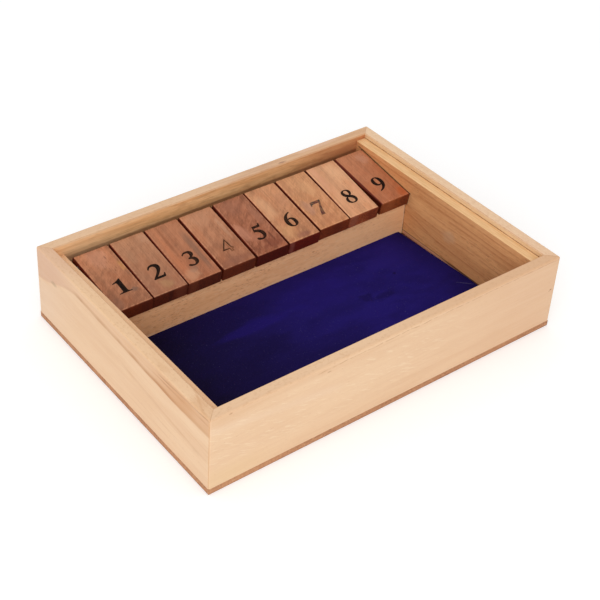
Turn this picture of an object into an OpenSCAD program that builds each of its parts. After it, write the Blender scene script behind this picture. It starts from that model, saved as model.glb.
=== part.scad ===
// Shut the box game: an open wooden tray with nine numbered tiles on a rod.
// Origin at the middle of the underside. X runs along the tray, Y towards
// the wall behind the tiles, Z up. Millimetres.

/* [Box] */
// Outside length of the box
box_l = 216; // [190:0.5:260]
// Outside width of the box, front to back
box_w = 153.5; // [145:0.5:190]
// Height of the box with its base board
box_h = 44.6; // [42:0.1:60]
// Thickness of the four outer walls
wall_t = 6.2; // [5:0.1:8]
// Thickness of the base board under the walls
base_t = 3.4; // [2.5:0.1:5]
// Size of the eased edges round the rim, the tiles and the rail
edge_c = 0.5; // [0.2:0.1:1]

/* [Cheeks] */
// Thickness of the strips inside the side walls that carry the rod
cheek_t = 6; // [4:0.1:8]
// How far the left cheek ends below the rim
left_cheek_drop = 6.2; // [1:0.1:7]
// How far the right cheek ends below the rim
right_cheek_drop = 2.9; // [1:0.1:7]

/* [Tray] */
// Thickness of the tile rail, front to back
rail_d = 8; // [5:0.1:12]
// Thickness of the felt
felt_t = 2.3; // [0.8:0.1:3]
// Gap all round the felt
felt_gap = 0.3; // [0.1:0.1:1]

/* [Rod] */
// Diameter of the pivot rod
rod_d = 3; // [2:0.1:4]
// Height of the rod's centre above the underside
rod_z = 34.2; // [32:0.1:36]
// From the rod's centre to the inside of the back wall
rod_to_wall = 9.4; // [8:0.1:12]
// Radial clearance of a tile's bore on the rod
bore_gap = 0.06; // [0.02:0.01:0.1]
// Radial clearance of the rod in the cheeks
seat_gap = 0.02; // [0.01:0.01:0.05]
// Gap between each end of the rod and the outer wall
rod_end_gap = 0.2; // [0.1:0.1:1]

/* [Tiles] */
// Length of a tile
tile_l = 43.6; // [40:0.1:46]
// Thickness of a tile
tile_t = 7.8; // [6:0.1:9]
// From a tile's back end to the centre of its bore
bore_in = 5; // [4:0.1:6]
// Slope of the tiles, with their front ends down on the rail
tile_slope = 9.2; // [6:0.1:11]
// How far the tiles' front ends stand out past the rail
tile_reach = 2.4; // [1.5:0.1:4]
// Room between the left cheek and the first tile
first_gap = 2.15; // [1:0.05:4]
// Room between the last tile and the right cheek
last_gap = 0.5; // [0.3:0.1:1]
// Even gap between one tile and the next
tile_gap = 0.88; // [0.8:0.02:1.4]
// Most that a tile sits off its even place
tile_drift = 0.45; // [0:0.05:0.5]
// Most that a tile's front end leans to the left
tile_lean = 1.8; // [0:0.1:1.9]
// Gap between a tile at rest and the rail
rest_gap = 0.15; // [0.1:0.05:0.3]

/* [Brads] */
// Diameter of the steel brads
brad_d = 1.2; // [0.8:0.1:1.6]
// Length of a brad
brad_l = 14; // [10:0.5:16]
// How far a brad is sunk below the surface
brad_set = 1; // [0.5:0.1:1.5]
// Radial clearance round a brad
brad_gap = 0.02; // [0.01:0.01:0.05]
// Height of the lower corner brads
brad_low_z = 11; // [8:0.5:14]
// Height of the upper corner brads
brad_high_z = 25; // [20:0.5:32]
// From the box's middle to the outer base brads, along X
base_brad_x = 96; // [70:1:100]
// From the box's middle to the base brads of the side walls, along Y
base_brad_y = 35; // [20:1:50]
// From the middle of the rail to its outer brads
rail_brad_x = 70; // [40:1:85]

/* [Hidden] */
$fn = 48;

TILES = 9;
// Each tile's share of tile_drift and of tile_lean, first tile to last.
DRIFT_SHARE = [0, 0.2, -0.2, 0.4, 1, 0.8, 1, 0.6, 0];
LEAN_SHARE = [-0.3, 0.1, 0.4, 0.6, 0.75, 0.6, 0.7, 1, 0.5];

half_l = box_l / 2;
half_w = box_w / 2;
wall_h = box_h - base_t;
inner_y = half_w - wall_t;
side_x = half_l - wall_t;
inner_x = side_x - cheek_t;
wall_mid = wall_t / 2;

rod_y = inner_y - rod_to_wall;
rod_l = 2 * (side_x - rod_end_gap);

// The rail stands back from the tiles' front ends, and the tray takes the rest.
rail_y = rod_y - (tile_l - bore_in) * cos(tile_slope) + tile_reach;
tray_w = inner_y + rail_y;

// The underside of a resting tile, above the rail's front edge.
tile_foot_y = rod_y + tile_t / 2 * sin(tile_slope) - rail_y - edge_c;
rail_z = rod_z - tile_t / 2 * cos(tile_slope) - tile_foot_y * tan(tile_slope) - rest_gap;

// The tiles share the width between the cheeks, less the gaps. The lean takes
// the last tile's back corner nearer to the right cheek.
last_lean = LEAN_SHARE[TILES - 1] * tile_lean * bore_in / tile_l;
tile_w = (2 * inner_x - first_gap - last_gap - last_lean - (TILES - 1) * tile_gap) / TILES;
tile_pitch = tile_w + tile_gap;
last_tile_x = inner_x - last_gap - last_lean - tile_w / 2;

function tile_x(n) = last_tile_x - (TILES - n) * tile_pitch + DRIFT_SHARE[n - 1] * tile_drift;
function lean_angle(n) = atan(LEAN_SHARE[n - 1] * tile_lean / tile_l);

// A rectangle with its corners cut by edge_c, centred.
module eased_rect(w, h) {
    x = w / 2;
    y = h / 2;
    c = edge_c;
    polygon([[-x + c, -y], [x - c, -y], [x, -y + c], [x, y - c],
             [x - c, y], [-x + c, y], [-x, y - c], [-x, -y + c]]);
}

// A brad's own solid, or with gap > 0 the hole for it, along +Z.
module brad(gap = 0) {
    cylinder(d = brad_d + 2 * gap, h = brad_l);
}

// Two brads through each mitred corner, driven in from the front and the back.
module corner_brad_set(gap = 0) {
    for (x = [-1, 1], s = [-1, 1], z = [brad_low_z, brad_high_z])
        translate([x * (half_l - wall_mid), s * (half_w - brad_set), z])
            rotate([s * 90, 0, 0]) brad(gap);
}

// Brads that hold the base board to the walls, driven up from below.
module base_brad_set(gap = 0) {
    for (x = [-1, -0.5, 0, 0.5, 1], s = [-1, 1])
        translate([x * base_brad_x, s * (half_w - wall_mid), brad_set]) brad(gap);
    for (x = [-1, 1], y = [-1, 1])
        translate([x * (half_l - wall_mid), y * base_brad_y, brad_set]) brad(gap);
}

// Brads that hold the tile rail, driven up from below.
module rail_brad_set(gap = 0) {
    for (x = [-1, 0, 1])
        translate([x * rail_brad_x, rail_y + rail_d / 2, brad_set]) brad(gap);
}

// One outer wall: its outer face lies on y = 0 and its ends are mitred.
module wall_board(len) {
    a = len / 2;
    c = edge_c;
    t = wall_t;
    intersection() {
        linear_extrude(wall_h)
            polygon([[-a + c, 0], [a - c, 0], [a - c / 2, c / 2], [a - t, t],
                     [-a + t, t], [-a + c / 2, c / 2]]);
        rotate([90, 0, 90]) translate([0, 0, -a]) linear_extrude(len)
            polygon([[0, 0], [t, 0], [t, wall_h - c], [t - c, wall_h], [c, wall_h], [0, wall_h - c]]);
    }
}

// An outer wall in its place, with the holes for the brads that reach it.
module drilled_wall(turn, out, len) {
    difference() {
        rotate([0, 0, turn]) translate([0, -out, base_t]) wall_board(len);
        corner_brad_set(brad_gap);
        base_brad_set(brad_gap);
    }
}

module front_wall() {
    color("#E8C39E") drilled_wall(0, half_w, box_l);
}

module right_wall() {
    color("#E8C39E") drilled_wall(90, half_l, box_w);
}

module back_wall() {
    color("#E8C39E") drilled_wall(180, half_w, box_l);
}

module left_wall() {
    color("#E8C39E") drilled_wall(270, half_l, box_w);
}

module base_board() {
    color("#B4785A") difference() {
        translate([-half_l, -half_w, 0]) cube([box_l, box_w, base_t]);
        base_brad_set(brad_gap);
        rail_brad_set(brad_gap);
    }
}

// A strip on the inside of a side wall, bored right through for the rod.
module cheek(side, drop) {
    h = box_h - base_t - drop;
    x0 = side > 0 ? inner_x : -side_x;
    difference() {
        translate([x0, -inner_y, base_t]) cube([cheek_t, 2 * inner_y, h]);
        translate([x0 - 1, rod_y, rod_z]) rotate([0, 90, 0])
            cylinder(d = rod_d + 2 * seat_gap, h = cheek_t + 2);
    }
}

module left_cheek() {
    color("#C08A5C") cheek(-1, left_cheek_drop);
}

module right_cheek() {
    color("#C08A5C") cheek(1, right_cheek_drop);
}

// The cloth on the floor of the dice tray.
module felt_lining() {
    color("#1E1650")
        translate([-inner_x + felt_gap, -inner_y + felt_gap, base_t])
            cube([2 * (inner_x - felt_gap), tray_w - 2 * felt_gap, felt_t]);
}

// The strip that the tiles' front ends lie on.
module tile_rail() {
    h = rail_z - base_t;
    c = edge_c;
    color("#C89A70") difference() {
        translate([-inner_x, rail_y, base_t]) rotate([90, 0, 90]) linear_extrude(2 * inner_x)
            polygon([[0, 0], [rail_d, 0], [rail_d, h - c], [rail_d - c, h], [c, h], [0, h - c]]);
        rail_brad_set(brad_gap);
    }
}

module pivot_rod() {
    color("#B8BCC0") translate([-rod_l / 2, rod_y, rod_z]) rotate([0, 90, 0])
        cylinder(d = rod_d, h = rod_l);
}

// One tile at rest. Its bore is square to its ends, its sides lean a little.
module tile(n, tint) {
    color(tint) translate([tile_x(n), rod_y, rod_z]) rotate([tile_slope, 0, 0]) difference() {
        intersection() {
            rotate([0, 0, -lean_angle(n)]) rotate([90, 0, 0])
                linear_extrude(2 * tile_l, center = true) eased_rect(tile_w, tile_t);
            rotate([90, 0, 90]) linear_extrude(2 * tile_w, center = true)
                translate([bore_in - tile_l / 2, 0]) eased_rect(tile_l, tile_t);
        }
        rotate([0, 90, 0]) cylinder(d = rod_d + 2 * bore_gap, h = 2 * tile_w, center = true);
    }
}

module tile_1() { tile(1, "#AE7858"); }
module tile_2() { tile(2, "#AB7556"); }
module tile_3() { tile(3, "#B27C5A"); }
module tile_4() { tile(4, "#A86F50"); }
module tile_5() { tile(5, "#965F48"); }
module tile_6() { tile(6, "#C08A66"); }
module tile_7() { tile(7, "#C28C66"); }
module tile_8() { tile(8, "#CD9673"); }
module tile_9() { tile(9, "#AF6E50"); }

module corner_brads() {
    color("#A8ACB0") corner_brad_set();
}

module base_brads() {
    color("#A8ACB0") base_brad_set();
}

module rail_brads() {
    color("#A8ACB0") rail_brad_set();
}

front_wall();
back_wall();
left_wall();
right_wall();
base_board();
left_cheek();
right_cheek();
felt_lining();
tile_rail();
pivot_rod();
tile_1();
tile_2();
tile_3();
tile_4();
tile_5();
tile_6();
tile_7();
tile_8();
tile_9();
corner_brads();
base_brads();
rail_brads();
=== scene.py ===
import math

import bmesh
import bpy
from mathutils import Euler, Matrix, Vector, noise


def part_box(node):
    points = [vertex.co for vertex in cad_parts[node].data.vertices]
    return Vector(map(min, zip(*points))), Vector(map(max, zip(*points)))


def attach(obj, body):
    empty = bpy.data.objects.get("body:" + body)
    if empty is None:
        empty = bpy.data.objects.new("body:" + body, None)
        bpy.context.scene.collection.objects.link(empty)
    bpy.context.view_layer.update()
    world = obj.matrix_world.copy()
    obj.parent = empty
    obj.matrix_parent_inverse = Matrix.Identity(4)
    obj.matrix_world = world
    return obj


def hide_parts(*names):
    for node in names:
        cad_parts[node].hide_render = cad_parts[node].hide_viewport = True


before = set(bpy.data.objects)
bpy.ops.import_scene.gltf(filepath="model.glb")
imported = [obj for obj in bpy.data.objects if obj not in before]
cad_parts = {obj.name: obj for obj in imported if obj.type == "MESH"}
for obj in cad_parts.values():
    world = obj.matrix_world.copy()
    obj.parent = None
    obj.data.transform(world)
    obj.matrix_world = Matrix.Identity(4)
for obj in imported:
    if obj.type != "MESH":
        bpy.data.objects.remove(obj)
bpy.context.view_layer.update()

# Bottom board: one thin brown board under the whole box, sawn flush with the walls.
# The walls and the tile rail are nailed down through it, and its edge shows as a
# darker band all round.
MM = 0.001
BOX_L, BOX_W, BOX_H = 216 * MM, 153.5 * MM, 44.6 * MM
BOTTOM_T = 3.4 * MM


class Flow:
    """A number that runs through a tree of nodes and is written as arithmetic."""

    def __init__(self, tree, socket):
        self.tree, self.socket = tree, socket

    def sums(operation, turned=False):
        """The method for one operation. Turned, its two terms change places."""
        def method(self, other=None):
            terms = (other, self) if turned else (self, other)
            return self.tree.node("ShaderNodeMath", dict(enumerate(terms)), operation=operation)
        return method

    __add__ = __radd__ = sums("ADD")
    __sub__, __rsub__ = sums("SUBTRACT"), sums("SUBTRACT", True)
    __mul__ = __rmul__ = sums("MULTIPLY")
    __truediv__, __rtruediv__ = sums("DIVIDE"), sums("DIVIDE", True)
    __abs__, fract = sums("ABSOLUTE"), sums("FRACT")
    most, least = sums("MAXIMUM"), sums("MINIMUM")

    def __neg__(self):
        return self * -1.0


class Tree:
    """A tree of nodes, each made by one call: its settings first, then its sockets."""

    def __init__(self, tree):
        self.tree = tree
        tree.nodes.clear()

    def node(self, kind, sockets, out=0, **settings):
        made = self.tree.nodes.new(kind)
        for name, value in settings.items():
            setattr(made, name, value)
        for name, value in sockets.items():
            if isinstance(value, Flow):
                self.tree.links.new(value.socket, made.inputs[name])
            elif value is not None:
                made.inputs[name].default_value = value
        return None if out is None else Flow(self, made.outputs[out])

    def join(self, *parts):
        joined = self.tree.nodes.new("GeometryNodeJoinGeometry")
        for part in parts:
            self.tree.links.new(part.socket, joined.inputs[0])
        return Flow(self, joined.outputs[0])


class Finish(Tree):
    """A material's tree, in millimetres: u runs with the grain, v across it, w through it.

    Its colours are written 0 to 255. colour is the colour so far, and lay puts a shade over it."""

    def __init__(self, name, grain="xyz", place=None, turn=(0, 0, 0)):
        self.material = bpy.data.materials.new(name)
        self.material.use_nodes = True
        super().__init__(self.material.node_tree)
        coords = self.node("ShaderNodeTexCoord", {}, out="Object")
        shift = (0, 0, 0)
        if place:
            spin = Euler(turn).to_matrix()
            shift = tuple(-(spin @ Vector(place)) / MM)
        at = self.node("ShaderNodeMapping", {"Vector": coords, "Location": shift, "Rotation": turn,
                                             "Scale": (1 / MM,) * 3})
        self.u, self.v, self.w = (self.node("ShaderNodeSeparateXYZ", {0: at}, out="xyz".index(a))
                                  for a in grain)

    def vector(self, u, v, w):
        return self.node("ShaderNodeCombineXYZ", {0: u, 1: v, 2: w})

    def noise(self, size, seed=0.0, detail=2.0, rough=0.5, u=None, v=None, w=None):
        """Noise with blots of size (along, across, through) in millimetres."""
        u, v, w = u or self.u, v or self.v, w or self.w
        where = self.vector(u / size[0] + seed, v / size[1] - seed, w / size[2])
        return self.node("ShaderNodeTexNoise", {"Vector": where, "Scale": 1.0, "Detail": detail,
                                                "Roughness": rough})

    def rise(self, value, low, high, kind="SMOOTHSTEP"):
        """0 up to low, 1 from high on."""
        return self.node("ShaderNodeMapRange", {"Value": value, "From Min": low, "From Max": high},
                         interpolation_type=kind)

    def fall(self, value, low, high, kind="SMOOTHSTEP"):
        """1 up to low, 0 from high on."""
        return 1 - self.rise(value, low, high, kind)

    def span(self, value, low, start, end, high):
        """1 from start to end, 0 up to low and from high on."""
        return self.rise(value, low, start) * self.fall(value, end, high)

    def blots(self, size, seed, low, high, **more):
        """1 on the blots of a noise, 0 between them."""
        return self.rise(self.noise(size, seed, **more), low, high)

    def length(self, u, v, w):
        return self.node("ShaderNodeVectorMath", {0: self.vector(u, v, w)}, out="Value",
                         operation="LENGTH")

    def blend(self, mask, under, over):
        under, over = (c if isinstance(c, Flow) else tone(*c) for c in (under, over))
        return self.node("ShaderNodeMix", {0: mask, 6: under, 7: over}, out=2, data_type="RGBA")

    def lay(self, mask, shade):
        self.colour = self.blend(mask, self.colour, shade)

    def close(self, rough, height, depth, specular=0.5, **more):
        """Ends the tree in a shader. height is 0 to 1, and depth its size in millimetres."""
        bump = self.node("ShaderNodeBump", {"Height": height, "Strength": 1.0, "Distance": depth * MM})
        shader = self.node("ShaderNodeBsdfPrincipled", {
            "Base Color": self.colour, "Roughness": rough, "Specular IOR Level": specular,
            "Normal": bump, **more})
        self.node("ShaderNodeOutputMaterial", {0: shader}, out=None)
        return self.material


def tone(red, green, blue):
    """A colour as the eye names it, 0 to 255, as the shader takes it."""
    def linear(c):
        c /= 255
        return c / 12.92 if c <= 0.04045 else ((c + 0.055) / 1.055) ** 2.4
    return (linear(red), linear(green), linear(blue), 1.0)


def timber(f, pale, dark, seed, clouds=0.5, rings=0.3, fibres=0.35, spacing=5.0, line=0.45,
           bend=2.0, pith=(30, -40), tilt=0.0):
    """Starts the colour as plain-sawn wood: clouds, growth rings, and fine fibre along the grain."""
    sway = (f.noise((90, 22, 22), seed, 1.0) - 0.5) * bend + tilt
    v, w = f.v + sway, f.w + sway * 0.6
    f.cloud = f.blots((60, 7, 7), seed + 3, 0.32, 0.68, v=v, w=w)
    ragged = (f.noise((70, 12, 12), seed + 7, 2.0) - 0.5) * 1.2
    turn = f.length(0.0, v - pith[0], w - pith[1]) / spacing + ragged
    step = turn.fract()
    f.late = f.rise(step, line, 0.92) * f.fall(step, 0.92, 1.0)
    f.fibre = f.blots((26, 0.7, 0.7), seed + 11, 0.3, 0.7, detail=3.0, rough=0.6)
    shade = f.cloud * clouds + f.late * rings + f.fibre * fibres
    f.colour = f.blend(f.rise(shade, 0.1, 1.1, "LINEAR"), pale, dark)


def pores(f, size, seed, shade, share, rare, patch=(40, 9, 9)):
    """Lays short dark pores over the wood, in patches."""
    f.pore = f.blots(size, seed, rare, rare + 0.09, detail=1.0)
    where = f.blots(patch, seed + 6, 0.38, 0.6, detail=1.0)
    f.lay(f.pore * where * share, shade)


def placed(name, data):
    """A new object in the scene."""
    made = bpy.data.objects.new(name, data)
    bpy.context.scene.collection.objects.link(made)
    return made


def surface(name, points, faces, material, bevel=0.0):
    """A plain mesh piece, with its long edges eased by a bevel."""
    mesh = bpy.data.meshes.new(name)
    mesh.from_pydata(points, [], faces)
    mesh.materials.append(material)
    return finish_mesh(placed(name, mesh), bevel)


def finish_mesh(made, bevel):
    """Merges doubles, turns the faces outwards, and smooths all but the sharp edges."""
    work = bmesh.new()
    work.from_mesh(made.data)
    bmesh.ops.remove_doubles(work, verts=work.verts, dist=1e-7)
    bmesh.ops.recalc_face_normals(work, faces=work.faces)
    work.to_mesh(made.data)
    work.free()
    made.data.shade_smooth()
    made.data.set_sharp_from_angle(angle=math.radians(35))
    if bevel:
        ease = made.modifiers.new("eased_edges", "BEVEL")
        ease.width, ease.segments, ease.limit_method = bevel, 3, "ANGLE"
        ease.angle_limit, ease.harden_normals = math.radians(40), True
    return made


def board(name, low, high, material, bevel):
    """A straight board between two corners."""
    points = [(x, y, z) for x in (low[0], high[0]) for y in (low[1], high[1])
              for z in (low[2], high[2])]
    faces = [(0, 1, 3, 2), (4, 6, 7, 5), (0, 4, 5, 1), (2, 3, 7, 6), (0, 2, 6, 4), (1, 5, 7, 3)]
    return surface(name, points, faces, material, bevel)


f = Finish("sawn_brown_board", "xzy")
timber(f, (204, 150, 110), (172, 116, 78), 5, spacing=2.2)
pores(f, (1.5, 0.6, 0.8), 9, (104, 60, 42), 0.6, rare=0.56)
sawn = f.blots((1.2, 9, 1.2), 2, 0.3, 0.7)
f.lay(sawn * 0.25, (146, 94, 64))
f.lay(f.blots((1.1, 1.1, 1.1), 14, 0.56, 0.7, detail=1.0) * 0.3, (226, 182, 142))
# Painted shade along the foot of the edge, where the board meets the floor.
f.lay(f.fall(f.v, 0.1, 0.7) * 0.5, (128, 80, 54))
# The top face is laid darker: glue and dust, and painted shade where it shows beside the felt.
f.lay(f.rise(f.v, BOTTOM_T / MM - 0.12, BOTTOM_T / MM - 0.02), (112, 66, 44))
bottom = board("bottom_board", (-BOX_L / 2, -BOX_W / 2, 0), (BOX_L / 2, BOX_W / 2, BOTTOM_T),
               f.close(f.fibre * 0.15 + 0.6, sawn, 0.03, specular=0.3), 0.3 * MM)
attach(bottom, "box")
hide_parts("base_board")

# Outer walls: four boards of pale wood, mitred and glued at the corners and nailed
# from the front and the back. The rim and the corners are sanded round by hand, and
# the inner faces are left browner, the back one also with painted shade low down.
WALL_T = 6.2 * MM
RIM_R, RIM_IN_R, CORNER_R = 0.9 * MM, 0.6 * MM, 0.9 * MM
HAND = 0.12 * MM


def stroke(f, start, end, low, high, fade, u=None, v=None):
    """1 on a streak between two points, fading over low and high beside it and fade past its ends."""
    u, v = u or f.u, v or f.v
    share = f.rise(u, start[0], end[0], "LINEAR")
    off = v - (share * (end[1] - start[1]) + start[1])
    along = f.span(u, start[0] - fade, start[0], end[0], end[0] + fade)
    return f.fall(off, 0, high) * f.fall(-off, 0, low) * along


def spot(f, middle, size, ragged=0.5, v=None):
    """1 inside a ragged oval, 0 outside."""
    du, dv = (f.u - middle[0]) / size[0], ((v or f.v) - middle[1]) / size[1]
    rag = (f.noise((size[0] * 0.8, size[1] * 0.8, 5), 31, 2.0) - 0.5) * ragged * 2
    return f.fall(f.length(du, dv, 0.0) + rag, 0.4, 1.1)


def mitred_wall(name, length, turn, out, material):
    """A wall with mitred ends, a rounded rim and its half of each rounded corner."""
    half, rim, steps, cuts = length / 2, BOX_H - BOTTOM_T, 4, 40
    def arc(cx, cz, r, start):
        return [(cx + r * math.cos(start + a), cz + r * math.sin(start + a))
                for a in (-math.pi / 2 * k / steps for k in range(steps + 1))]
    edge = 0.25 * MM
    profile = ([(0, 0), (0, rim - RIM_R - edge)]
               + arc(RIM_R, rim - RIM_R, RIM_R, math.pi)
               + [(RIM_R + edge, rim), (WALL_T - RIM_IN_R - edge, rim)]
               + arc(WALL_T - RIM_IN_R, rim - RIM_IN_R, RIM_IN_R, math.pi / 2)
               + [(WALL_T, rim - RIM_IN_R - edge), (WALL_T, 0)])
    points, faces, row = [], [], 0
    spin = Matrix.Rotation(turn, 3, "Z")
    for d, z in profile:
        ends = []
        for k in range(steps + 1):
            a = math.radians(45) * (1 - k / steps)
            r = max(CORNER_R - d, 0)
            x = half - CORNER_R + r * math.sin(a) if d < CORNER_R else half - d
            ends.append((x, CORNER_R - r * math.cos(a) if d < CORNER_R else d))
        span = ends[-1][0]
        line = ([(-x, dd) for x, dd in ends] + [(span * (2 * k / cuts - 1), d) for k in range(1, cuts)]
                + ends[::-1])
        row = len(line)
        for x, dd in line:
            near_rim = max(0.0, 1 - (rim - z) / (2 * MM))
            wave = noise.noise(Vector((x * 60, turn * 7, d * 90))) * HAND * near_rim
            points.append(spin @ Vector((x, dd - out, z + BOTTOM_T - abs(wave))))
    n = len(profile)
    for i in range(n):
        j = (i + 1) % n
        for k in range(row - 1):
            faces.append((i * row + k, i * row + k + 1, j * row + k + 1, j * row + k))
    faces.append(tuple(i * row for i in range(n)))
    faces.append(tuple(i * row + row - 1 for i in reversed(range(n))))
    return surface(name, points, faces, material)


def wall_finish(name, grain, seed, half, out, inner_look, marks):
    """The pale wood, its warmer inner face, its mitre lines and the marks of one wall."""
    f, thick = Finish(name, grain), WALL_T / MM
    timber(f, (236, 200, 162), (222, 178, 138), seed, clouds=0.35, rings=0.15, fibres=0.2,
           spacing=7.0, pith=(60, 90))
    pores(f, (2.2, 0.35, 0.35), seed + 17, (188, 134, 94), 0.3, rare=0.68)
    f.deep, f.rim = out / MM - abs(f.w), f.rise(f.v, 43.8, 44.3)
    marks(f)
    f.lay(f.blots((1.6, 1.0, 1.0), seed + 30, 0.5, 0.72) * (f.rim * 0.25 + 0.06), (202, 154, 112))
    inner = f.rise(f.deep, thick - 0.3, thick - 0.05) * f.fall(f.v, 43.6, 44.3)
    outer = f.colour
    inner_look(f)
    f.colour = f.blend(inner, outer, f.colour)
    lip = f.span(f.deep, thick - 0.55, thick - 0.3, thick - 0.2, thick - 0.02)
    broken = f.blots((6, 30, 30), seed + 33, 0.3, 0.6)
    f.lay(lip * f.rise(f.v, 42.8, 43.6) * (broken * 0.4 + 0.2), (192, 134, 86))
    seam = f.fall(abs(half / MM - abs(f.u) - f.deep), 0.08, 0.4)
    seam = seam * (f.blots((3, 3, 3), seed + 36, 0.3, 0.6) * 0.4 + 0.35) * (f.rim * 0.5 + 0.1)
    f.lay(seam, (176, 122, 80))
    dust = f.blots((8, 3, 3), seed + 40, 0.35, 0.75, detail=3.0)
    return f.close(f.fibre * 0.12 + dust * 0.08 + 0.42, f.fibre * 0.5 + dust * 0.5, 0.03)


def front_marks(f):
    """The front wall: fine pale ripples, a thin broken line under the rim, and a tan right end."""
    wobble = (f.noise((9, 40, 40), 50, 2.0) - 0.5) * 1.6
    v = f.v + wobble
    slant = f.v + f.u * 0.14
    ripple = f.blots((7, 1.0, 8), 55, 0.58, 0.7, v=f.v + f.u * 0.36)
    spread = f.span(f.v, 10, 18, 38, 43) * f.fall(f.u, 10, 70)
    f.lay(ripple * spread * 0.45, (246, 220, 188))
    f.lay(stroke(f, (-104, 22), (-40, 23), 3.0, 5.0, 12, v=slant) * 0.35, (242, 212, 182))
    f.lay(f.rise(f.u, -10, 100) * 0.5, (222, 176, 138))
    f.lay(f.fall(f.u, -100, -60) * f.fall(f.v, 8, 18) * 0.4, (230, 196, 148))
    worn = f.blots((4, 40, 40), 51, 0.38, 0.6)
    f.lay(stroke(f, (13, 43.0), (104, 43.5), 0.5, 0.6, 8, v=v) * (worn * 0.4 + 0.12), (176, 122, 80))
    f.lay(stroke(f, (-46, 42.4), (8, 43.2), 0.4, 0.6, 8, v=v) * worn * 0.6, (184, 132, 88))
    f.lay(stroke(f, (103.9, 24.2), (105.6, 24.9), 0.45, 0.45, 0.6) * 0.75, (168, 116, 82))
    f.lay(stroke(f, (-100, 41.5), (106, 41.5), 1.5, 3.0, 10) * 0.3, (222, 180, 138))
    f.lay((spot(f, (-97, 43.6), (1.2, 0.5)) + spot(f, (-42, 40.8), (1.3, 0.5))) * 0.5, (176, 126, 86))
    f.lay(f.rim * (f.rise(f.u, -60, 90) * 0.6 + 0.2), (218, 172, 130))


def side_marks(f):
    """The left wall: a dark streak under the rim, with browner wood above it, and a small knot."""
    wobble = (f.noise((14, 40, 40), 60, 2.0) - 0.5) * 1.4
    v = f.v + wobble
    line = f.fall(f.u, -45, 38, "LINEAR") * -3.9 + f.rise(f.u, 36, 80) * -12.5 + 38.5
    above = v - line
    below_rim = f.fall(f.v, 42.5, 44.6)
    ribbon = f.span(above, -0.7, 0.3, 0.5, 3.0)
    middle = f.span(f.u, -76, -40, 24, 60)
    broken = f.blots((16, 40, 40), 63, 0.3, 0.65)
    f.lay(f.rise(above, -0.6, 1.2) * below_rim * 0.45, (220, 174, 132))
    frontward = f.span(f.u, -90, -60, -30, 10) * 0.45
    f.lay(ribbon * (middle * 0.75 + frontward + 0.08) * (broken * 0.6 + 0.4), (180, 120, 70))
    f.lay(f.rise(above, -0.5, 1.0) * f.rise(f.u, 30, 62) * 0.6, (214, 170, 142))
    front_zone = f.rise(above, -1.2, 1.6) * f.fall(f.u, -56, -20) * (f.rise(f.u, -68, -56) * 0.4 + 0.6)
    spill = 1 - f.rise(f.deep, 0.4, 2.6) * f.fall(f.u, -72, -60) * 0.5
    front_zone = front_zone * (1 - f.rise(f.v, 43.4, 44.6) * f.rise(f.u, -66, -58)) * spill
    f.lay(front_zone * 0.8, (208, 154, 106))
    f.lay(stroke(f, (-74, 43.6), (-38, 42.0), 0.4, 0.6, 4, v=v) * (broken * 0.5 + 0.3), (164, 112, 72))
    f.lay(stroke(f, (-70, 40.6), (-24, 39.6), 0.5, 1.2, 9, v=v) * broken * 0.6, (180, 120, 74))
    low = stroke(f, (-66, -19.5), (0, -26), 1.2, 2.6, 14, v=-v)
    f.lay(low * (broken * 0.45 + 0.15), (212, 166, 124))
    f.lay(spot(f, (60, 31.6), (3.4, 1.5)) * 0.45, (162, 128, 88))
    f.lay(f.fall(f.u, -76.5, -75.7) * f.fall(f.v, 40, 43) * (broken * 0.4 + 0.4), (206, 156, 110))
    grain = f.blots((30, 1.1, 6), 66, 0.55, 0.7, v=v - f.u * 0.05) * f.fall(f.u, -20, 20)
    f.lay(grain * 0.3, (212, 166, 124))
    f.lay(f.rise(f.u, 34, 76) * f.fall(above, -3, 0) * 0.5, (232, 200, 172))
    gold = f.span(f.u, -76, -20, 20, 60) * 0.15 + 0.12
    f.lay(f.rim * gold, (226, 176, 122))
    f.lay(stroke(f, (-70, 1.0), (-58, 5.5), 1.0, 1.0, 5, v=f.deep) * f.rim * 0.4, (204, 150, 104))


def back_marks(f):
    """The back wall: its rim grows browner to the right, round a small knot."""
    brown = f.rise(f.u, -110, 60) * 0.3 + 0.3
    bands = f.blots((26, 3, 2.4), 77, 0.3, 0.7, w=f.w + f.u * 0.05)
    f.lay(f.rim * brown, (208, 162, 122))
    f.lay(f.rim * bands * f.rise(f.u, -20, 30) * 0.55, (186, 136, 106))
    f.lay(f.rim * f.rise(f.u, 20, 70) * 0.3, (226, 172, 116))
    f.lay(spot(f, (43, 71.9), (3.2, 0.9), v=abs(f.w)) * f.rim * 0.7, (150, 98, 70))
    f.lay(f.span(f.u, 50, 62, 74, 92) * f.rise(abs(f.w), 72.5, 74.5) * f.rim * 0.5, (232, 192, 164))


def right_marks(f):
    """The right wall: its rim is a little rough, pinker in front and paler behind."""
    f.lay(f.rim * f.fall(f.u, -80, 20) * 0.3, (226, 180, 146))
    rough = f.blots((2.4, 1.2, 1.2), 83, 0.5, 0.66, detail=3.0)
    f.lay(f.rim * rough * 0.3, (246, 216, 178))


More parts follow.
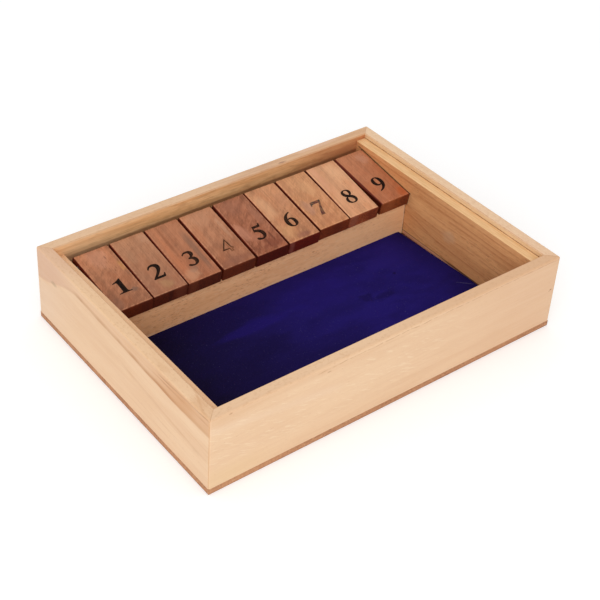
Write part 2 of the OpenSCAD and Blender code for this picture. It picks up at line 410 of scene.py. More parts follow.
def tan_inside(f):
    """The inner face of the back wall: golden and redder to the right, with painted shade towards the
    bottom, painted shadow blots low down, and a painted shadow line above the tile backs.
    """
    lines = f.blots((60, 1.1, 3), 70, 0.35, 0.65)
    f.colour = f.blend(lines, (250, 200, 146), (232, 174, 118))
    # Painted shade: darker towards the bottom, near the backs of the tiles.
    f.lay(f.fall(f.v, 36, 42) * 0.4, (206, 150, 98))
    rightward = f.rise(f.u, -70, 60)
    f.lay(rightward * 0.5, (206, 150, 100))
    # Painted shadow: dark blots over the lower part, more of them to the right.
    blots = f.blots((11, 2.6, 3), 75, 0.42, 0.68, detail=3.0, rough=0.6)
    low_part = 1 - f.rise(f.v, 38, 43.5) * 0.75
    f.lay(blots * low_part * (rightward * 0.35 + 0.25), (166, 112, 68))
    f.lay(f.blots((5, 0.7, 1), 78, 0.5, 0.7, v=f.v + f.u * 0.06) * 0.3, (168, 112, 66))
    f.lay(f.rise(f.u, 40, 95) * f.blots((26, 2.2, 3), 71, 0.3, 0.65) * 0.75, (172, 104, 64))
    f.lay(f.rise(f.u, 30, 90) * 0.25, (192, 104, 60))
    # Painted shadow: a dark line just above the back ends of the tiles.
    f.lay(stroke(f, (-92, 35.6), (94, 35.6), 2.0, 1.2, 4) * 0.55, (124, 56, 24))
    f.lay(f.fall(f.u, -96, -40) * 0.3, (240, 200, 158))
    f.lay(spot(f, (-24, 42), (4.0, 1.0)) * 0.4, (186, 124, 78))


def plain_inside(f):
    """The inner face of the front and left walls."""
    f.colour = f.blend(f.fibre, (234, 202, 160), (220, 182, 138))


def pale_inside(f):
    """The inner face of the right wall, with a painted shade line in the corner above its cheek."""
    # Painted shade: a broken dark line in the corner just above the cheek's top.
    corner_shade = f.fall(f.v, 41.74, 42.05) * (f.blots((5, 5, 5), 90, 0.3, 0.6) * 0.5 + 0.4)
    plain_inside(f)
    f.lay(corner_shade, (150, 92, 52))


half_l, half_w = BOX_L / 2, BOX_W / 2
walls = (
    ("wall_front", "front_wall", BOX_L, 0, half_w, "xzy", 11, plain_inside, front_marks),
    ("wall_right", "right_wall", BOX_W, math.pi / 2, half_l, "yzx", 12, pale_inside, right_marks),
    ("wall_back", "back_wall", BOX_L, math.pi, half_w, "xzy", 13, tan_inside, back_marks),
    ("wall_left", "left_wall", BOX_W, -math.pi / 2, half_l, "yzx", 14, plain_inside, side_marks),
)
for name, node, length, turn, out, grain, seed, inside, marks in walls:
    wood = wall_finish("pale_wood_" + name, grain, seed, length / 2, out, inside, marks)
    wall = mitred_wall(name, length, turn, out, wood)
    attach(wall, "box")
    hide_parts(node)

# Cheeks: two browner strips glued inside the side walls. They carry the ends of the
# rod, and stop a little below the rim. The right one stands higher than the left.
for name, node, seed, top_tones in (
        ("cheek_left", "left_cheek", 21, ((240, 194, 150), (230, 182, 136))),
        ("cheek_right", "right_cheek", 22, ((240, 194, 142), (224, 176, 120)))):
    low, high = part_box(node)
    f = Finish("cheek_wood_" + name, "yzx")
    rising = f.rise(f.u, -30, 70, "LINEAR") * f.fall(f.v, 14, 36) * -6.0
    timber(f, (232, 172, 116), (206, 142, 90), seed, clouds=0.6, rings=0.3, fibres=0.35,
           spacing=4.7, line=0.72, bend=3.0, pith=(-90, 140), tilt=rising)
    pores(f, (3.0, 0.4, 0.4), seed + 17, (140, 84, 50), 0.5, rare=0.62)
    wavy = f.v + (f.noise((12, 40, 40), seed + 2, 2.0) - 0.5) * 0.9
    ragged = f.blots((4, 2, 40), seed + 4, 0.3, 0.55)
    for start, end in (((-56, 38.5), (66, 38.9)), ((-60, 34.4), (15, 34.4)), ((-57, 31.5), (-10, 31.5)),
                       ((-53, 27.7), (9, 27.8)), ((-50, 21.2), (8, 21.8)), ((8, 21.8), (24, 23.6)),
                       ((-44, 12.6), (-2, 14.2)), ((-2, 14.2), (25, 19.6)), ((6, 7.4), (25, 11.2)),
                       ((-20, 6.6), (4, 8.0))):
        f.lay(stroke(f, start, end, 1.6, 0.4, 3, v=wavy) * (ragged * 0.3 + 0.12), (176, 100, 50))
        f.lay(stroke(f, start, end, 0.3, 0.4, 3, v=wavy - 0.7) * ragged * 0.35, (236, 182, 134))
    f.lay(spot(f, (-10, 22), (6, 5)) * 0.5, (214, 170, 132))
    f.lay(f.blots((4, 1.2, 2), seed + 8, 0.45, 0.65, detail=3.0, rough=0.65) * 0.25, (196, 118, 66))
    foot = f.span(f.u, -44, -8, 24, 26)
    f.lay(f.fall(f.v, 5.6, 6.0) * foot * 0.75, (218, 152, 122))
    # A dark line along the cheek's foot, just above the felt: a glue line, deepened with painted
    # contact shade in front, where the felt meets the cheek.
    line = stroke(f, (-44, 6.0), (26, 5.9), 0.4, 0.5, 10)
    line = line.most(stroke(f, (-60, 5.6), (-14, 5.7), 1.2, 0.9, 12))
    f.lay(line * (f.rise(f.u, -24, 4) * -0.2 + 0.95), (58, 28, 20))
    if name == "cheek_right":
        # Painted shade in the gap beside tile 9: a dark line on the cheek along the tile's top edge,
        # and a short one down beside its front end.
        gap_shade = stroke(f, (23, 31.6), (68, 38.9), 0.7, 0.5, 1)
        gap_shade = gap_shade.most(stroke(f, (23.8, 24.6), (31.5, 23.3), 0.6, 0.8, 0.6, u=f.v, v=f.u))
        f.lay(gap_shade * 0.9, (60, 27, 18))
    top = f.rise(f.v, high.z / MM - 0.5, high.z / MM - 0.1)
    fine = f.blots((10, 0.8, 0.8), seed + 5, 0.3, 0.7, detail=3.0)
    f.lay(top, f.blend(fine, *top_tones))
    outer = max(-low.x, high.x) / MM
    # Painted shade along the top's outer edge, in the corner where the cheek meets the wall.
    f.lay(top * f.rise(abs(f.w), outer - 0.5, outer - 0.1) * 0.45, (150, 94, 52))
    wood = f.close(f.fibre * 0.15 + 0.45, f.late * 0.4 + f.fibre * 0.4, 0.05)
    cheek = board(name, low, high, wood, 0.35 * MM)
    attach(cheek, "box")
    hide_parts(node)

# Felt: one piece of dark blue felt, cut by hand and glued on the floor of the dice
# tray. Its right edge is cut askew: it meets the cheek in front and leaves a sliver
# of bare board behind.
felt_low, felt_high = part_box("felt_lining")
rail_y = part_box("tile_rail")[0].y
FELT_ASKEW, ASKEW_FROM = 2.9 * MM, 0.45
FELT_OVER, FELT_SHORT, FELT_SWELL = 0.27 * MM, 0.03 * MM, 0.12 * MM
FELT_DROP, DROP_W = 0.35 * MM, 0.8 * MM
ROWS, COLUMNS = 56, 112
points, faces = [], []
for j in range(ROWS + 1):
    for i in range(COLUMNS + 1):
        s, t = i / COLUMNS, j / ROWS
        right = felt_high.x + FELT_OVER - FELT_ASKEW * max(0.0, t - ASKEW_FROM) / (1 - ASKEW_FROM)
        x = felt_low.x + (right - felt_low.x) * s
        y = felt_low.y + (rail_y - FELT_SHORT - felt_low.y) * t
        drop = FELT_DROP * max(0.0, 1 - min(x - felt_low.x, right - x) / DROP_W) ** 2
        lift = noise.noise(Vector((x * 26, y * 26, 3.0))) * FELT_SWELL
        points.append((x, y, felt_high.z + lift - drop))
row, under = COLUMNS + 1, len(points)
points += [(x, y, felt_low.z) for x, y, z in points]
for j in range(ROWS):
    for i in range(COLUMNS):
        a = j * row + i
        faces.append((a, a + 1, a + 1 + row, a + row))
        faces.append((a + under, a + row + under, a + 1 + row + under, a + 1 + under))
edge = ([(i, 0) for i in range(COLUMNS)] + [(COLUMNS, j) for j in range(ROWS)]
        + [(i, ROWS) for i in range(COLUMNS, 0, -1)] + [(0, j) for j in range(ROWS, 0, -1)])
edge = [j * row + i for i, j in edge]
for a, b in zip(edge, edge[1:] + edge[:1]):
    faces.append((a, a + under, b + under, b))
f = Finish("blue_felt")
nap = f.noise((0.5, 0.5, 0.5), 1, 3.0, 0.7)
brushed = f.noise((30, 16, 10), 4, 3.0, 0.6, u=f.u + f.v * 0.5)
warp = (f.noise((26, 18, 10), 8, 2.0) - 0.5) * 60
# The felt goes from near black at the left to bright blue at the right: painted shade at the left and
# painted sheen at the right.
f.colour = f.blend(f.rise(f.u + warp * 0.6, -98, 44), (20, 15, 32), (36, 26, 104))
f.lay(f.rise(brushed, 0.4, 0.66) * 0.4, (25, 17, 64))
for u, v, long, wide, shade, share in (
        (22, 8, 34, 16, (38, 25, 114), 0.3), (-22, 2, 26, 6, (37, 25, 116), 0.4),
        (76, 10, 22, 16, (42, 30, 112), 0.5), (-34, -15, 22, 9, (22, 15, 54), 0.5),
        (38, -11, 5, 4, (22, 15, 56), 0.5), (48, -15, 9, 3, (22, 15, 56), 0.5),
        (65, -3, 1.4, 1.1, (18, 13, 44), 0.6), (-2, -30, 40, 9, (26, 18, 66), 0.4)):
    f.lay(spot(f, (u, v), (long, wide), 0.7) * share, shade)
# Painted shade on the felt near the right cheek.
f.lay(f.rise(f.u + warp * 0.1, 72, 97) * 0.45, (25, 16, 56))
for shift in (0.0, 1.5, 2.6):
    rubbed = stroke(f, (88 + shift, -28 - shift), (91.5 + shift, -31.5 - shift), 0.35, 0.35, 1.0)
    f.lay(rubbed * 0.55, (92, 88, 124))
f.lay(f.rise(nap, 0.5, 0.8) * 0.22, (62, 52, 128))
f.lay(f.blots((0.45, 0.45, 0.45), 13, 0.8, 0.86, detail=0.0) * 0.3, (120, 112, 150))
cloth = f.close(f.rise(nap, 0.2, 0.8) * 0.1 + 0.88, nap, 0.12, specular=0.03)
felt = surface("felt", points, faces, cloth)
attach(felt, "box")
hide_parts("felt_lining")

# Tile rail: a planed strip between the cheeks, nailed from below. The front ends of
# the tiles rest on it.
low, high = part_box("tile_rail")
f = Finish("rail_wood", "xzy")
timber(f, (252, 196, 146), (236, 174, 124), 31, spacing=9.0, rings=0.2, pith=(40, 60), bend=3.0)
pores(f, (2.6, 0.45, 0.6), 48, (176, 92, 54), 0.6, rare=0.6, patch=(24, 8, 9))
f.lay(f.blots((3.2, 1.1, 1), 61, 0.5, 0.7) * 0.4, (246, 202, 160))
f.lay(f.blots((5, 1.4, 1), 63, 0.52, 0.7) * 0.35, (214, 148, 104))
foot = f.fall(f.v, felt_high.z / MM + 0.3, felt_high.z / MM + 2.0) * f.rise(
    f.noise((2, 2, 2), 66, 2.0), 0.35, 0.6)
f.lay(foot * 0.5, (238, 196, 168))
f.lay(f.rise(f.u, 20, 80) * 0.45, (255, 208, 158))
f.lay(f.rise(f.u, 94.8, 95.3) * 0.4, (244, 222, 200))
f.lay(f.rise(f.u, 95.15, 95.4) * (f.blots((2, 2, 2), 67, 0.35, 0.55) * 0.6 + 0.3), (84, 46, 32))
rail = board("rail", low, high, f.close(f.fibre * 0.15 + 0.5, f.fibre - f.pore, 0.04), 0.4 * MM)
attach(rail, "box")
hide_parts("tile_rail")

# Rod: a plain drawn steel rod through the back ends of the tiles, held in the cheeks.
# The nails of the box are of the same steel.
f = Finish("drawn_steel")
drawn = f.blots((30, 0.2, 0.2), 3, 0.3, 0.7)
f.colour = f.blend(drawn, (112, 108, 104), (150, 146, 142))
steel = f.close(drawn * 0.2 + 0.35, drawn, 0.01, Metallic=1.0)
for node in ("pivot_rod", "corner_brads", "base_brads", "rail_brads"):
    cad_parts[node].material_slots[0].material = steel

# Tiles: nine blocks of reddish-brown wood, bored for the rod. Each was cut from
# another piece of the stock, so they differ in colour, and none lies quite square.
TILE_SLOPE = math.radians(9.2)
TILE_L, TILE_T, TILE_W = 43.6 * MM, 7.8 * MM, 20.2 * MM
BORE_IN, BORE_R = 5 * MM, 1.56 * MM
ROD_Y, ROD_Z = 61.15 * MM, 34.2 * MM
LEAN = 1.8 * MM
LEAN_SHARE = (-0.3, 0.1, 0.4, 0.6, 0.75, 0.6, 0.7, 1, 0.5)
SWUNG = {4: 0.4 * MM, 9: 1.3 * MM}
SLID = {5: 0.35 * MM}
EASE, WORN_EASE = 0.8 * MM, {9: 1.9 * MM}
CHIP, BIG_CHIP, ROUGH = 0.3 * MM, {8: 1.3 * MM}, 0.12 * MM
ROUND_STEPS = (0.04, 0.15, 0.36, 0.66)
ON_SKIN, WORN_REACH = 0.01 * MM, 2.5 * MM
HALF_W, HALF_T = TILE_W / MM / 2, TILE_T / MM / 2
SIDE_TONE, SIDE_DARK = (112, 38, 18), (84, 26, 12)


def new_group(name, **inputs):
    """A new tree of geometry nodes, and its named inputs, which are listed by their kind."""
    group = bpy.data.node_groups.new(name, "GeometryNodeTree")
    for kind, titles in inputs.items():
        for title in titles:
            group.interface.new_socket(title, in_out="INPUT", socket_type="NodeSocket" + kind)
    group.interface.new_socket("Geometry", in_out="OUTPUT", socket_type="NodeSocketGeometry")
    t = Tree(group)
    given = group.nodes.new("NodeGroupInput")
    return t, {s.name: Flow(t, s) for s in given.outputs if s.name}


def tile_tree():
    """Geometry nodes for one block: its bored side is drawn, filled, and drawn out to its width."""
    t, g = new_group("tile_block", Material=("Wood",), Float=(
        "Width", "Length", "Thickness", "Bore In", "Bore Radius", "Lean"))
    side = t.node("GeometryNodeCurvePrimitiveQuadrilateral", {
        "Width": g["Length"], "Height": g["Thickness"]})
    ahead = t.node("ShaderNodeCombineXYZ", {0: g["Bore In"] - g["Length"] / 2})
    side = t.node("GeometryNodeTransform", {"Geometry": side, "Translation": ahead})
    bore = t.node("GeometryNodeCurvePrimitiveCircle", {"Resolution": 40, "Radius": g["Bore Radius"]})
    face = t.node("GeometryNodeFillCurve", {"Curve": t.join(side, bore)}, mode="TRIANGLES")
    block = t.node("GeometryNodeExtrudeMesh", {"Mesh": face, "Offset": (0.0, 0.0, 1.0),
                                               "Offset Scale": g["Width"], "Individual": False})
    block = t.join(block, t.node("GeometryNodeFlipFaces", {"Mesh": face}))
    block = t.node("GeometryNodeMergeByDistance", {"Geometry": block, "Distance": 1e-6})
    here = t.node("GeometryNodeInputPosition", {})
    along, up, out = (t.node("ShaderNodeSeparateXYZ", {0: here}, out=k) for k in range(3))
    across = out - g["Width"] / 2 + along * g["Lean"] / g["Length"]
    turned = t.node("ShaderNodeCombineXYZ", {0: across, 1: along, 2: up})
    block = t.node("GeometryNodeSetPosition", {"Geometry": block, "Position": turned})
    block = t.node("GeometryNodeRealizeInstances", {"Geometry": block})
    block = t.node("GeometryNodeSetMaterial", {"Geometry": block, "Material": g["Wood"]})
    t.node("NodeGroupOutput", {0: block}, out=None)
    return t.tree


def as_mesh(made):
    """The mesh that a curve or a modifier gives."""
    bpy.context.view_layer.update()
    return bpy.data.meshes.new_from_object(made.evaluated_get(bpy.context.evaluated_depsgraph_get()))


def grown(name, group, values, mesh=None):
    """Runs a tree on a new piece with these named values, and leaves a plain mesh."""
    made = placed(name, mesh or bpy.data.meshes.new(name))
    step = made.modifiers.new("grow", "NODES")
    step.node_group = group
    for item in group.interface.items_tree:
        if item.in_out == "INPUT" and item.name in values:
            step[item.identifier] = values[item.name]
    plain = as_mesh(made)
    made.modifiers.clear()
    made.data = plain
    return made


def hand_cut(mesh, length, lean, n):
    """Rounds a block's long edges over, makes them a little uneven, and chips the front end."""
    work = bmesh.new()
    work.from_mesh(mesh)
    front, skew, chip = BORE_IN - length, lean / length, BIG_CHIP.get(n, CHIP)
    def eases(x):
        return WORN_EASE.get(n, EASE) if x < 0 else EASE
    cuts = [((k * TILE_W / 14, 0, 0), (1, -skew, 0)) for k in range(-6, 7)]
    cuts += [((side * (TILE_W / 2 - eases(side) * share), 0, 0), (1, -skew, 0))
             for side in (-1, 1) for share in ROUND_STEPS]
    cuts += [((0, end + way * EASE * share, 0), (0, 1, 0))
             for end, way in ((front, 1), (BORE_IN, -1)) for share in ROUND_STEPS]
    cuts += [((0, front + k * length / 16, 0), (0, 1, 0)) for k in range(1, 16)]
    cuts += [((0, 0, z * MM), (0, 0, 1)) for z in (-2.6, 2.6)]
    for place, way in cuts:
        bmesh.ops.bisect_plane(work, geom=work.verts[:] + work.edges[:] + work.faces[:], plane_co=place,
                               plane_no=way)
    for vert in work.verts:
        x, y, z = vert.co
        to_end = min(y - front, BORE_IN - y)
        to_skin = TILE_T / 2 - abs(z)
        if min(to_skin, to_end) > ON_SKIN:
            continue
        to_side = TILE_W / 2 - abs(x - y * skew)
        near = max(0.0, 1 - max(min(to_end, to_side), 0) / WORN_REACH)
        push = noise.noise(Vector((x * 330, y * 330, z * 330 + n * 5))) * ROUGH
        if to_skin < ON_SKIN:
            drop = push * near
            for off, ease in ((to_end, EASE), (to_side, eases(x - y * skew))):
                if off < ease:
                    drop += ease - math.sqrt(max(ease ** 2 - (ease - off) ** 2, 0))
            vert.co.z += max(drop, 0) * (-1 if z > 0 else 0.3)
        if to_end < ON_SKIN:
            bite = max(0.0, noise.noise(Vector((x * 260, n * 3.0, 9)))) * chip * (1.0 if z < 0 else 0.5)
            vert.co.y += push * near + (bite if y < 0 else 0)
            if y < 0 and z < -0.3 * TILE_T:
                vert.co.z += bite * 1.6
    work.to_mesh(mesh)
    work.free()


def toned(colour, share, more=0):
    """A colour made lighter or darker."""
    return [min(c * share + more, 255) for c in colour]


def tile_wood(n, place, lean, back, front, figured, marks, length):
    """A tile's wood in its own sloped frame: u runs from the front end to the rod and past it."""
    f = Finish(f"tile_wood_{n}", "yxz", place, (-TILE_SLOPE, 0, 0))
    f.v = f.v - f.u * lean
    seed = 40 + n * 3.7
    slope = f.rise(f.u, -34, 2, "LINEAR")
    pale = f.blend(slope, toned(front, 1.14), toned(back, 1.14))
    dark = f.blend(slope, toned(front, 0.84), toned(back, 0.86))
    timber(f, pale, dark, seed, clouds=figured * 0.8 + 0.15, rings=0.1, fibres=0.4, spacing=6.0,
           bend=4.0, pith=(-18, -26))
    ahead = f.u * 0.8 + f.v * 0.6
    beside = f.v * 0.8 - f.u * 0.6
    figure = f.noise((3.4, 0.75, 1.6), seed + 2, 3.0, 0.65, u=ahead, v=beside)
    f.lay(f.rise(figure, 0.5, 0.75) * figured, toned(back, 1.3, 12))
    f.lay(f.fall(figure, 0.25, 0.5) * figured, toned(front, 0.74))
    mottle = f.noise((7, 2.4, 3), seed + 20, 3.0, 0.6, u=ahead, v=beside)
    f.lay(f.rise(mottle, 0.48, 0.66) * (figured * 0.9 + 0.02), toned(back, 1.2, 12))
    f.lay(f.fall(mottle, 0.32, 0.5) * (figured * 0.9 + 0.04), toned(front, 0.82))
    warm = f.blots((10, 6, 6), seed + 4, 0.45, 0.7)
    f.lay(warm * 0.22, (back[0] * 1.02, back[1] * 0.86, back[2] * 0.72))
    for u, v, long, wide, shade, share in marks:
        f.lay(spot(f, (u, v), (long, wide), 0.6) * share, shade)
    pores(f, (2.2, 0.35, 0.4), seed + 9, (92, 48, 32), 0.45, rare=0.64)
    to_end = (f.u - (BORE_IN - length) / MM).least(BORE_IN / MM - f.u)
    to_edge = to_end.least(HALF_W - abs(f.v))
    # A pale broken rim along the top edges: partly worn wood, partly painted highlight.
    worn = f.fall(to_edge, 0.5, 1.3) * f.blots((1.4, 1.4, 1.4), seed + 13, 0.4, 0.62)
    f.lay(worn * 0.35, toned(back, 1.25, 22))
    return f


END_MARKS = (
    (1, 6, 5, (70, 24, 14)), (2, 0, 2, (52, 16, 10)), (2, 6, 5, (112, 56, 36)),
    (3, -7, 4, (110, 54, 32)), (4, 7, 3, (84, 34, 18)), (6, -8.4, 2.2, (134, 76, 64)),
    (7, 2, 4, (92, 34, 16)), (8, -7, 4, (152, 92, 70)), (8, 6, 5, (104, 38, 20)),
    (9, 7, 4, (96, 40, 20)), (9, -4, 5, (158, 88, 50)),
)
block = tile_tree()
tile_looks = (
    ((169, 112, 79), (145, 93, 65), (98, 36, 12), 0.25, 0.0, (
        (-2.6, 3.9, 1.5, 0.5, (104, 56, 38), 0.85), (-13, 3.9, 0.6, 0.5, (112, 64, 44), 0.6),
        (-2, 0, 9, 7, (202, 142, 112), 0.45), (-11.4, 8.5, 4, 1.6, (200, 142, 74), 0.4),
        (-28.5, 5.2, 1.6, 2.4, (104, 82, 70), 0.6), (-34, -7, 6, 3, (132, 88, 68), 0.4))),
    ((162, 113, 82), (144, 94, 68), (80, 27, 8), 0.12, 0.0, (
        (-33, 0.9, 4, 5, (184, 142, 98), 0.4), (0, 7, 5, 4, (198, 150, 118), 0.35),
        (-8, -5, 8, 3, (164, 122, 92), 0.3))),
    ((161, 106, 75), (149, 92, 63), (82, 29, 12), 0.15, 0.4, (
        (-19, -6.5, 22, 2.6, (194, 118, 78), 0.5), (-8, -3.9, 14, 1.2, (140, 84, 54), 0.6),
        (-19, 6.6, 18, 2.2, (122, 90, 72), 0.6), (-34, -4.6, 4.5, 5, (200, 148, 112), 0.45),
        (-31, -2, 3, 4, (148, 116, 96), 0.35))),
    ((168, 115, 83), (144, 90, 62), (98, 38, 15), 0.2, 0.5, (
        (0, -0.6, 8, 9, (194, 140, 106), 0.4), (-11.5, -7.5, 7, 3, (188, 120, 82), 0.45),
        (-36, 0, 5, 11, (132, 82, 62), 0.55), (-12, 7, 10, 1.6, (196, 148, 116), 0.4))),
    ((150, 94, 66), (133, 75, 49), (76, 16, 2), 0.45, 0.7, (
        (-20, -7.4, 7, 4, (206, 140, 110), 0.5), (-26, -4, 5, 4, (198, 130, 100), 0.4),
        (-34, 3, 5, 6, (120, 58, 36), 0.55), (-12, 7, 8, 3, (182, 120, 92), 0.4),
        (-29, 5.5, 5, 0.8, (96, 48, 30), 0.6), (-32, 1, 6, 0.7, (98, 46, 28), 0.5),
        (-1, -2, 8, 8, (146, 94, 72), 0.4))),
    ((184, 129, 92), (162, 108, 74), (92, 20, 5), 0.2, 0.8, (
        (-9, -6, 13, 5, (220, 166, 124), 0.5), (3, -7, 3, 4, (160, 112, 80), 0.35),
        (-31, -5.6, 7, 6, (212, 158, 108), 0.45), (-36.6, 1.5, 2.4, 5, (144, 88, 70), 0.6),
        (-8, 5, 8, 4, (188, 130, 96), 0.35))),
    ((188, 134, 94), (177, 118, 79), (112, 45, 18), 0.22, 0.0, (
        (-2, -7.3, 10, 3.5, (176, 118, 84), 0.45), (-7.6, 3.3, 9, 5, (216, 162, 116), 0.4),
        (-21, -5.4, 7, 3.5, (172, 126, 106), 0.45), (-34, 0, 5, 9, (190, 126, 88), 0.3))),
    ((194, 142, 105), (191, 136, 99), (142, 68, 38), 0.08, 0.0, (
        (-4, 4.7, 9, 6, (226, 176, 134), 0.4), (-6, -6.5, 14, 3, (212, 152, 122), 0.4),
        (-24, 8, 9, 1.8, (214, 146, 110), 0.4))),
    ((170, 109, 75), (158, 94, 61), (138, 68, 32), 0.12, -0.5, (
        (-2, 5, 5, 4, (200, 144, 116), 0.4), (-34.6, 7.6, 5, 4, (186, 92, 46), 0.6),
        (-25, -6.3, 7, 4, (184, 104, 58), 0.4), (-14, 4, 9, 4, (182, 108, 68), 0.3))),
)
tile_woods = {}
for n, (back, front, end, share, longer, marks) in enumerate(tile_looks, 1):
    node = f"tile_{n}"
    low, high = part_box(node)
    lean = LEAN * LEAN_SHARE[n - 1]
    length = TILE_L + longer * MM
    middle = (low.x + high.x) / 2 + SLID.get(n, 0)
    place = Vector((middle + lean * (TILE_L / 2 - BORE_IN) / TILE_L, ROD_Y, ROD_Z))
    lean -= SWUNG.get(n, 0)
    tile_woods[n] = (n, place, lean / TILE_L, back, front, share, marks, length)
    f = tile_wood(*tile_woods[n])
    # The sides and the sunk round-overs of the long edges are laid dark: partly the darker wood of the
    # sides, partly painted shade in the gaps between the tiles.
    side = f.rise(abs(f.v), HALF_W - 0.5, HALF_W - 0.15)
    sunk = f.rise(HALF_T - abs(f.w), 0.1, 0.4) * f.rise(abs(f.v), HALF_W - 2.1, HALF_W - 1.9)
    f.lay(side.most(sunk), f.blend(f.fibre, SIDE_TONE, SIDE_DARK))
    front_end, back_end = (BORE_IN - length) / MM, BORE_IN / MM
    ends = f.fall(f.u, front_end + 0.2, front_end + 0.5) + f.rise(f.u, back_end - 0.5, back_end - 0.2)
    end_tone = f.blend(f.blots((3, 1.6, 0.8), n + 2, 0.35, 0.65) * 0.5, end, toned(end, 0.55))
    end_tone = f.blend(f.blots((2, 0.6, 0.5), n + 8, 0.4, 0.65) * 0.3, end_tone,
                       (end[0] * 1.4, end[1] * 1.5, end[2] * 1.6))
    for tile_n, v, wide, shade in END_MARKS:
        if tile_n == n:
            ragged = (f.noise((3, 2, 2), n + 30, 2.0) - 0.5) * wide
            patch = f.fall(abs(f.v - v + ragged), wide * 0.2, wide * 1.1)
            end_tone = f.blend(patch * 0.55, end_tone, shade)
    f.lay(ends, end_tone)
    wood = f.close(f.fibre * 0.15 + ends * 0.25 + 0.45, f.fibre * 0.6 - f.pore * 0.5, 0.04,
                   specular=0.2)
    tile = grown(f"number_{node}", block, {
        "Width": TILE_W, "Length": length, "Thickness": TILE_T, "Bore In": BORE_IN,
        "Bore Radius": BORE_R, "Lean": lean, "Wood": wood})
    hand_cut(tile.data, length, lean, n)
    tile.data.transform(Matrix.Translation(place) @ Matrix.Rotation(TILE_SLOPE, 4, "X"))
    finish_mesh(tile, 0.45 * MM)
    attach(tile, node)
    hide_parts(node)

# Numbers: one stamped in black on each tile, its top towards the rod. The 4 has worn
# down to a part of its outline, and the 7 is half worn and grey.
UNIT = 0.1 * MM
INK_RISE = 0.03 * MM
SIX = ("M 29 54 C -8 46 -34 20 -34 -16 C -34 -40 -20 -55 0 -55 C 20 -55 34 -42 34 -21 C 34 -1 23 "
       "11 7 11 C 0 11 -5 9 -9 5 C -5 24 8 38 29 49 Z",
       "M 1 3 C 9 3 13 -6 13 -22 C 13 -40 9 -49 1 -49 C -8 -49 -12 -38 -12 -18 C -12 -12 -12 -6 "
       "-11 -2 C -8 2 -4 3 1 3 Z")
OUTLINES = {
    1: ("M -38 -50 L 34 -50 L 34 -46 C 20 -45 13 -43 13 -34 L 13 50 L 9 50 C -3 41 -18 34 -36 30 L "
        "-36 25 C -28 27 -13 32 -13 20 L -13 -34 C -13 -43 -20 -45 -38 -46 Z",),
    2: ("M -37 -51 L 29 -51 C 33 -44 36 -36 38 -26 L 33 -26 C 29 -36 24 -38 12 -38 L -12 -38 C 8 "
        "-20 36 2 36 26 C 36 42 23 52 5 52 C -14 52 -27 43 -33 25 L -28 23 C -22 34 -14 39 -5 39 C "
        "6 39 12 31 12 20 C 12 0 -8 -18 -37 -46 Z",),
    3: ("M -30 34 C -25 46 -12 53 3 53 C 20 53 32 45 32 31 C 32 20 25 12 14 6 C 27 2 34 -8 34 -21 "
        "C 34 -41 17 -53 -6 -53 C -20 -53 -33 -49 -33 -41 C -33 -37 -30 -35 -26 -35 C -18 -35 -12 "
        "-45 -3 -45 C 6 -45 12 -37 12 -24 C 12 -9 2 -3 -10 -2 L -10 3 C 1 6 10 14 10 26 C 10 36 4 "
        "42 -5 42 C -14 42 -21 38 -26 31 Z",),
    4: ("M 25 50 L 25 -18 L 34 -18 L 34 -29 L 25 -29 L 25 -49 L 6 -49 L 6 -29 L -34 -29 L -34 -20 "
        "L 16 50 Z",
        "M 6 -18 L 6 26 L -25 -18 Z"),
    5: ("M 37 58 L 32 58 C 28 50 24 46 14 46 L -14 46 L -24 6 C -4 4 8 -6 8 -24 C 8 -38 3 -48 -6 "
        "-48 C -14 -48 -19 -37 -28 -37 C -32 -37 -36 -39 -36 -44 C -36 -52 -26 -57 -12 -57 C 12 "
        "-57 30 -42 30 -18 C 30 6 12 18 -13 20 L -10 31 L 30 31 Z",),
    6: SIX,
    7: ("M -28 53 L 36 53 L 36 46 C 22 18 6 -16 0 -55 L -24 -55 C -12 -24 4 8 20 34 L -12 34 C -24 "
        "34 -28 32 -32 22 L -37 23 Z",),
    8: ("M 2 54 C 20 54 31 46 31 32 C 31 20 25 13 14 6 C 28 -1 34 -10 34 -24 C 34 -43 20 -54 0 -54 "
        "C -20 -54 -34 -44 -34 -28 C -34 -14 -26 -6 -14 0 C -25 7 -30 15 -30 27 C -30 44 -17 54 2 "
        "54 Z",
        "M 2 48 C 10 48 14 42 14 32 C 14 23 12 15 8 9 C -6 17 -12 23 -12 34 C -12 43 -6 48 2 48 Z",
        "M 0 -48 C 10 -48 16 -41 16 -32 C 16 -21 8 -13 -8 -3 C -15 -10 -17 -19 -17 -27 C -17 -41 "
        "-10 -48 0 -48 Z"),
    9: SIX,
}
WORN_FOUR = ("M 17 42 L 22 -19 L 31 -21 L 31 -27 L 21 -28 L 20 -44 L 11 -44 L 9 -25 L -29 -24 Z",)


def draw(curve, path):
    """Adds one outline, written as moves, lines and curves, to a flat curve."""
    knots = []
    for part in path.translate(str.maketrans("MLC", "|||", "Z")).split("|")[1:]:
        xy = [float(word) for word in part.split()]
        *bends, at = (Vector((x, y, 0)) for x, y in zip(xy[::2], xy[1::2]))
        if bends:
            knots[-1][2] = bends[0]
        knots.append([at, bends[1] if bends else None, None])
    if (knots[0][0] - knots[-1][0]).length < 1e-6:
        knots[0][1] = knots[-1][1]
        knots.pop()
    spline = curve.splines.new("BEZIER")
    spline.bezier_points.add(len(knots) - 1)
    spline.use_cyclic_u, spline.resolution_u = True, 8
    for i, (point, (at, left, right)) in enumerate(zip(spline.bezier_points, knots)):
        before, after = knots[i - 1][0], knots[(i + 1) % len(knots)][0]
        point.co = at
        point.handle_left_type = point.handle_right_type = "FREE"
        point.handle_left = left or at + (before - at) / 3
        point.handle_right = right or at + (after - at) / 3


